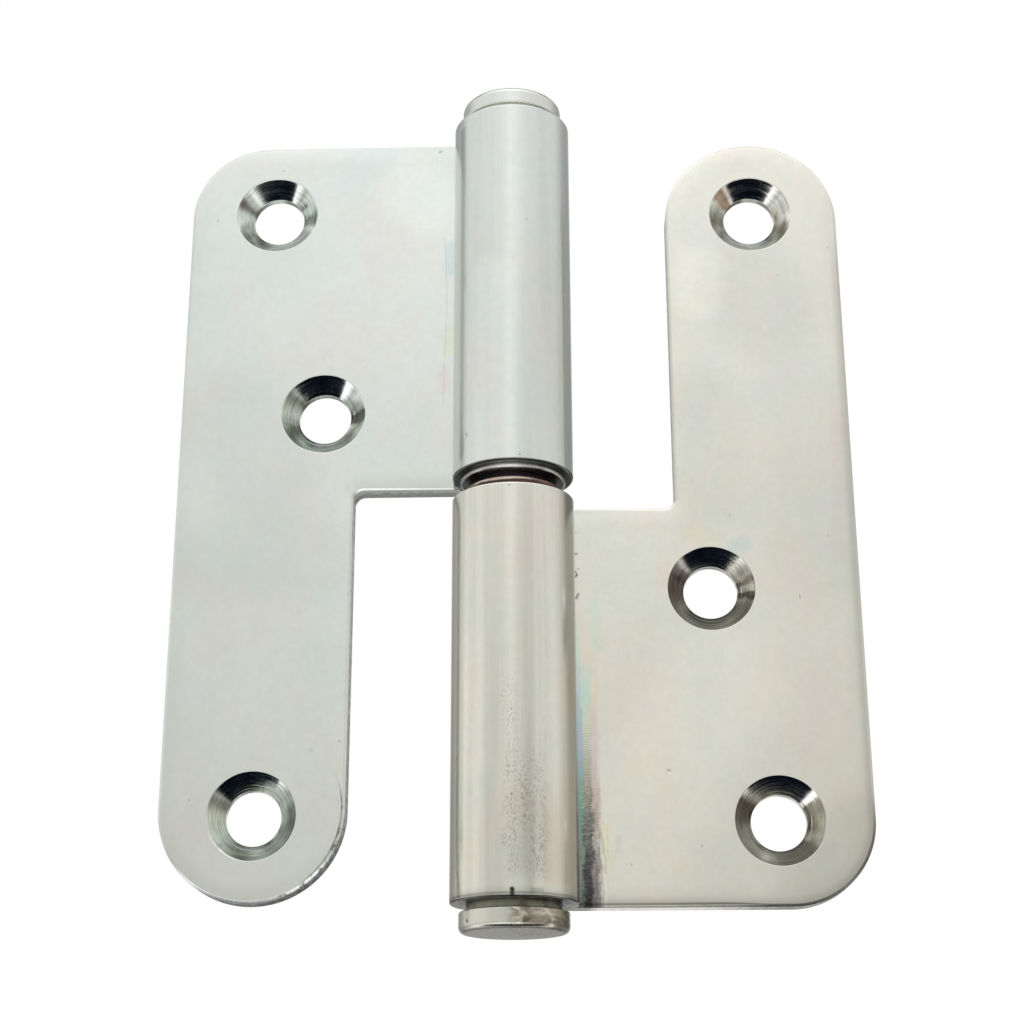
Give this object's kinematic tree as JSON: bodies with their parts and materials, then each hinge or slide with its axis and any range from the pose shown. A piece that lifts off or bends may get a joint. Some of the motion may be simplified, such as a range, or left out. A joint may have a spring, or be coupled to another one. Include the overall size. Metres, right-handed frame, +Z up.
{
  "type": "lift-off hinge",
  "caption": "Flat steel door hinge whose leaves come apart: the upper knuckle drops over a pin fixed in the lower one, and each leaf has countersunk screw holes.",
  "frame": {"origin": "on the pin's axis, halfway between the facing ends of the knuckles, which is the middle of the whole hinge", "axes": "+X from the pin to the frame leaf's outer edge, +Y from the countersunk faces to the flat backs, +Z up the pin, the way the door lifts off"},
  "size_m": [0.084, 0.0148, 0.1064],
  "materials": {
    "zinc_plate": "bright zinc plate, satin, with faint passivation colours",
    "pin_steel": "ground steel, lightly oiled",
    "bronze": "turned bronze",
    "dark_steel": "blackened steel",
    "bush_steel": "turned and plated steel",
    "plug_zinc": "turned steel, bright zinc plate"
  },
  "bodies": {
    "frame": {"frame_leaf": "zinc_plate", "hinge_pin": "pin_steel", "bronze_washer": "bronze", "bottom_plug": "plug_zinc"},
    "washer": {"thrust_washer": "dark_steel"},
    "door": {"door_leaf": "zinc_plate", "door_bush": "bush_steel", "top_plug": "plug_zinc"}
  },
  "joints": [
    {"name": "door_swing", "type": "hinge", "parent": "frame", "child": "washer", "pos_m": [0, 0, 0], "axis": [0, 0, 1], "range_deg": [-145, 180]},
    {"name": "lift_off", "type": "slide", "parent": "washer", "child": "door", "axis": [0, 0, 1], "range_m": [0, 0.034]}
  ]
}
